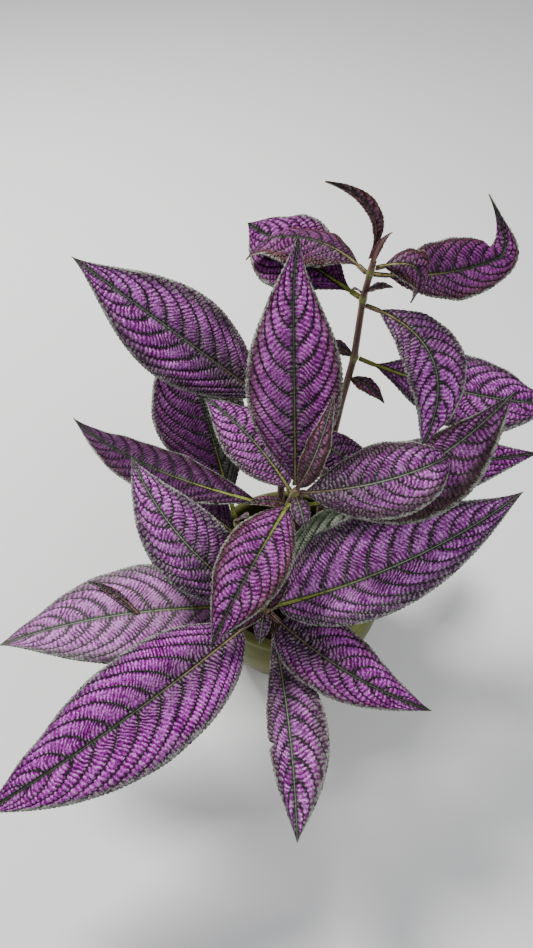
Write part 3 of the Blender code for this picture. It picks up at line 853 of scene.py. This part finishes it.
# %% [markdown]
# ## The stems
# A stem is a tube swept along its axis, with rounded corners rather than a perfect circle, because this
# plant's young stems are nearly square. At a node it swells and turns green.

# %% Stem tube
STEM_SIDES, RING_STEP, SQUARENESS = 24, 1.2 * MM, 0.05
CAP_RISE, NODE_GREEN = 0.5 * MM, 1.3


def stem_grid(name):
    """Points and faces of a capped tube, with the turn and the greenness of each point."""
    head = STEMS[name][0][-1][2] * MM
    heights = np.append(np.arange(stem_axis(name)[0][2], head, RING_STEP), head)
    rings, nodes = [], []
    turn = np.linspace(0, 2 * np.pi, STEM_SIDES, endpoint=False)
    square = 1 + SQUARENESS * np.cos(4 * turn)
    for z in heights:
        centre, along, radius, swell = stem_at(name, z)
        right = unit(np.cross(along, [0, 1.0, 0]))
        forward = np.cross(along, right)
        ring = np.outer(np.cos(turn) * square, right) + np.outer(np.sin(turn) * square, forward)
        rings.append(centre + ring * radius * swell)
        nodes.append((swell - 1) / (SWELL - 1))
    head_centre, head_along = stem_at(name, head)[:2]
    ends = [stem_at(name, heights[0])[0], head_centre + head_along * CAP_RISE]
    points = np.concatenate([np.concatenate(rings), ends])
    green = np.repeat(np.clip(np.array(nodes) * NODE_GREEN, 0, 1), STEM_SIDES)
    pattern = np.stack([np.tile(turn, len(heights)), green, 0 * green], axis=1)
    pattern = np.concatenate([pattern, [[0, 0, 0], [0, green[-1], 0]]])
    return points, tube_faces(len(heights), STEM_SIDES), pattern


print("the tall stem has", len(stem_grid("tall")[0]), "points")

# %% [markdown]
# ## Stems with their young leaves
# The young leaves are made by the leaf functions and join the mesh of their stem, so each stem stays
# one piece with three finishes.

# %% Make the stems
BARK_INDEX = 2
for number, name in enumerate(STEMS):
    points, faces, pattern = stem_grid(name)
    place, look = np.zeros((len(points), 3)), np.zeros((len(points), 4))
    made = points, faces, np.full(len(faces), BARK_INDEX), pattern, place, look
    for count, leaf in enumerate(YOUNG[name]):
        made = with_leaf(made, leaf, YOUNG_FINE, YOUNG_SEED + 10 * number + count)
    piece("shoot_" + name, made, (upper, under, bark), "stem_" + name)
    print(name, "stem:", len(made[1]), "faces")

# %% [markdown]
# ## The glaze
# The pot is glazed in olive green, darker and lighter in soft clouds where the glaze pooled, with a few
# dark speckles. On the lip it ran thin and is paler, and the paler colour there is partly a painted
# highlight. The gloss is kept low: at the flat angle that the pot is seen from, a strong one would
# mirror the pale floor and hide the green.

# %% Glaze finish
glaze = Finish("glaze", Roughness=0.32, Coat_Weight=0.02, Coat_Roughness=0.08, Specular_IOR_Level=0.05)
pooled = glaze.noise(28, 5, 0.6)
speckle = glaze.noise(1300, 2)
body_colour = glaze.mix(glaze.fade(pooled, 0.35, 0.70), (0.075, 0.084, 0.012), (0.120, 0.132, 0.022))
speckled = glaze.times(glaze.fade(speckle, 0.66, 0.74), 0.5)
body_colour = glaze.mix(speckled, body_colour, (0.06, 0.06, 0.02))
thin_lip_and_highlight = glaze.stored_parts("pattern")[0]
# Painted highlight: the lip is paler, partly thin glaze and partly a highlight.
glaze.colour(glaze.mix(glaze.times(thin_lip_and_highlight, 0.6), body_colour, (0.24, 0.26, 0.11)))
glaze.relief(glaze.times(pooled, 0.5), 0.5)
print("glaze finish:", len(glaze.tree.nodes), "nodes")

# %% [markdown]
# ## Turning a profile
# The pot was thrown on a wheel, so a profile turned round the upright axis gives it, and the potting
# mix that fills it too. Both need to know how far out the pot reaches at any height.

# %% Pot profile helpers


def wall_radius(z):
    """The outside of the pot at a height: a curve from rim to foot that bulges in the middle."""
    down = 1 - z / POT_HEIGHT
    inward = 1 - (1 - down ** POT_CURVE) ** (1 / POT_CURVE)
    return RIM_RADIUS - LIP * 0.5 - (RIM_RADIUS - FOOT_RADIUS) * inward + BULGE * math.sin(math.pi * down)


def turned(profile, sides):
    """Points and faces of a closed profile, from axis to axis, turned round Z."""
    turn = np.linspace(0, 2 * np.pi, sides, endpoint=False)
    rings = [(r * math.cos(a), r * math.sin(a), z) for r, z in profile[1:-1] for a in turn]
    points = np.array(rings + [(0, 0, profile[0][1]), (0, 0, profile[-1][1])])
    return points, tube_faces(len(profile) - 2, sides, flip=True)


print("the pot is", round(2000 * wall_radius(POT_HEIGHT / 2)), "mm wide half way up")

# %% [markdown]
# ## The pot
# The profile goes up the inside, over the rolled lip, down the bulging outside and under the foot. The
# height within the lip is stored, because the glaze is thin there and a highlight is painted on it.

# %% Make the pot
POT_SIDES = 160
LIP_Z, LIP_R = POT_HEIGHT - LIP, RIM_RADIUS - LIP
BELOW_LIP, ABOVE_FOOT = LIP_Z - 4 * MM, 3 * MM
inside = [(wall_radius(z) - WALL, z) for z in np.linspace(WALL + 3 * MM, BELOW_LIP, 26)]
outside = [(wall_radius(z), z) for z in np.linspace(BELOW_LIP, ABOVE_FOOT, 40)]
lip = [(LIP_R + LIP * math.cos(a), LIP_Z + LIP * math.sin(a)) for a in np.radians(np.linspace(200, 0, 16))]
foot = [(FOOT_RADIUS + 0.6 * MM, 1.2 * MM), (FOOT_RADIUS - 0.8 * MM, 0), (FOOT_RADIUS - 6 * MM, 0), (0, 0)]
profile = [(0, WALL), (FOOT_RADIUS - WALL, WALL)] + inside + lip + outside + foot
points, faces = turned(profile, POT_SIDES)
# This share marks the lip, where thin glaze and a painted highlight make it paler.
lip_glaze_and_highlight = np.clip((points[:, 2] - LIP_Z) / LIP, 0, 1)
pattern = np.stack([lip_glaze_and_highlight, 0 * lip_glaze_and_highlight, 0 * lip_glaze_and_highlight], axis=1)
piece("pot_glazed", (points, faces, np.zeros(len(faces)), pattern), (glaze,), "pot")
print("pot:", len(faces), "faces")

# %% [markdown]
# ## The finish of the potting mix
# The mix is dark bark and peat, with a few lighter fibres. It is quite matte and very rough.

# %% Potting mix finish
compost = Finish("potting_mix", Roughness=0.95, Specular_IOR_Level=0.2)
crumb = compost.noise(420, 6, 0.7)
fibres = compost.noise(1900, 3)
earth = compost.mix(compost.fade(crumb, 0.35, 0.65), (0.012, 0.008, 0.005), (0.050, 0.030, 0.018))
compost.colour(compost.mix(compost.fade(fibres, 0.62, 0.75), earth, (0.11, 0.070, 0.042)))
compost.relief(compost.plus(compost.times(crumb, 1.2), compost.times(fibres, 0.3)))
print("potting mix finish:", len(compost.tree.nodes), "nodes")

# %% [markdown]
# ## Loose crumbs
# A crumb is an icosahedron with each corner pushed in or out, and stretched a little. Its 12 corners are
# three golden rectangles, and its faces are the triples of corners that all lie next to each other, so
# neither has to be typed in.

# %% Crumb helper
GOLDEN = (1 + math.sqrt(5)) / 2
CORNER_RADIUS, NEIGHBOUR = 1.9, 2.1
LUMP = np.array([(a, b, 0) for a in (-1, 1) for b in (-GOLDEN, GOLDEN)])
LUMP = np.concatenate([LUMP, np.roll(LUMP, 1, axis=1), np.roll(LUMP, 2, axis=1)])


def lump(centre, size, stretch):
    """The corners of one small rough crumb."""
    return centre + LUMP / CORNER_RADIUS * rng.uniform(0.7, 1.2, (12, 1)) * stretch * size


def lump_faces():
    faces = []
    for i, j, k in itertools.combinations(range(12), 3):
        a, b, c = LUMP[i], LUMP[j], LUMP[k]
        if max(np.linalg.norm(a - b), np.linalg.norm(b - c), np.linalg.norm(a - c)) < NEIGHBOUR:
            faces.append((i, j, k) if np.cross(b - a, c - a) @ a > 0 else (i, k, j))
    return faces


print("a crumb has", len(lump_faces()), "faces")

# %% [markdown]
# ## The potting mix
# The mix is a turned solid like the pot, and its top is raised into a low mound with swells of several
# sizes. Loose crumbs, placed by a seeded draw, lie on it, so it never looks like a flat lid.

# %% Make the potting mix
MOUND, SWELLS, ROUGH = 2.5 * MM, 1.4 * MM, 0.7 * MM
MIX_SIDES, TOP_RINGS, CRUMBS = 120, 44, 420


def broad_swell(x, y):
    return np.sin(210 * x + 1.3) * np.cos(170 * y)


mix_side = [(wall_radius(z) - WALL - GAP - 0.5 * MM, z) for z in np.linspace(SOIL_TOP, 10 * MM, 8)]
mix_radius = mix_side[0][0]
mix_top = [(mix_radius * k / TOP_RINGS, SOIL_TOP) for k in range(TOP_RINGS)]
mix_foot = [(FOOT_RADIUS - WALL - 2 * MM, WALL + GAP), (0, WALL + GAP)]
points, faces = turned(mix_top + mix_side + mix_foot, MIX_SIDES)
x, y = points[:, 0], points[:, 1]
reach = np.hypot(x, y) / mix_radius
on_top = (points[:, 2] > SOIL_TOP - 0.1 * MM) & (reach < 0.985)
bump = broad_swell(x, y) + 0.6 * np.sin(330 * x - 290 * y)
fine_bump = np.sin(900 * x + 2 * np.sin(700 * y)) * np.cos(820 * y + 1.7 * np.sin(610 * x))
points[:, 2] += np.where(on_top, SWELLS * bump + MOUND * (1 - reach) + ROUGH * fine_bump, 0)
print("mound:", len(faces), "faces")

# %% [markdown]
# ## Crumbs on the mix
# Each crumb sits at the height of the mound's broad swells, a fifth of its size above them.

# %% Lay the crumbs on the mix
faces = faces.tolist()
crumb_faces = lump_faces()
all_points = [points]
total = len(points)
for _ in range(CRUMBS):
    angle, far = rng.uniform(0, 2 * np.pi), math.sqrt(rng.uniform(0, 0.93))
    cx, cy = far * mix_radius * math.cos(angle), far * mix_radius * math.sin(angle)
    height = SOIL_TOP + SWELLS * broad_swell(cx, cy) + MOUND * (1 - far)
    size = rng.uniform(0.7, 2.2) * MM
    all_points.append(lump(np.array([cx, cy, height + 0.2 * size]), size, rng.uniform(0.6, 1.3, 3)))
    faces += [[total + k for k in face] + [-1] for face in crumb_faces]
    total += len(LUMP)
points = np.concatenate(all_points)
piece("potting_mix", (points, np.array(faces), np.zeros(len(faces))), (compost,), "soil")
print("potting mix:", len(faces), "faces")

# %% [markdown]
# ## The floor
# A plain pale floor lets the leaves show their own colours. It lies half a millimetre below the pot's
# foot, so the two never flicker, and it is left off the plant's body, because it is no part of the plant.

# %% Floor
stage_finish = Finish("floor_finish", Roughness=0.85, Specular_IOR_Level=0.2)
stage_finish.colour(stage_finish.mix(stage_finish.noise(3), (0.86, 0.86, 0.85), (0.90, 0.90, 0.89)))
bpy.ops.mesh.primitive_plane_add(size=8, location=(0, 0, -0.0005))
floor = bpy.context.object
floor.name = "floor"
floor.data.materials.append(stage_finish.material)
print("floor", floor.dimensions[0], "m wide")

# %% [markdown]
# ## The lights
# The main light is a soft disc high up behind the plant and to the left, so it glances off the leaves
# and brings out their silver. A larger and weaker one in front on the right keeps the near side from
# going dark, and the world adds an even, slightly blue light.

# %% Lights


def soft_light(name, place, target, size, power, colour):
    data = bpy.data.lights.new(name, "AREA")
    data.shape, data.size, data.energy, data.color = "DISK", size, power, colour
    lamp = bpy.data.objects.new(name, data)
    lamp.location = place
    aim = np.array(target) - np.array(place)
    tilt = math.acos(-aim[2] / np.linalg.norm(aim))
    lamp.rotation_euler = (tilt, 0, math.atan2(aim[1], aim[0]) - math.pi / 2)
    bpy.context.scene.collection.objects.link(lamp)


soft_light("main_light", (-0.65, 0.6, 1.25), (0, 0, 0.15), 0.45, 29, (1.0, 0.98, 0.96))
soft_light("fill_light", (0.9, -0.9, 1.1), (0, 0, 0.12), 1.2, 11, (0.96, 0.98, 1.0))
world = bpy.data.worlds.new("even_light")
world.use_nodes = True
background = world.node_tree.nodes["Background"]
background.inputs["Color"].default_value = (0.92, 0.94, 1.0, 1)
background.inputs["Strength"].default_value = 0.40
bpy.context.scene.world = world
print("lights:", len(bpy.data.lights))

# %% [markdown]
# ## The sizes
# The dressed plant must be as large as its solids, and its pieces follow the same measures and plans.
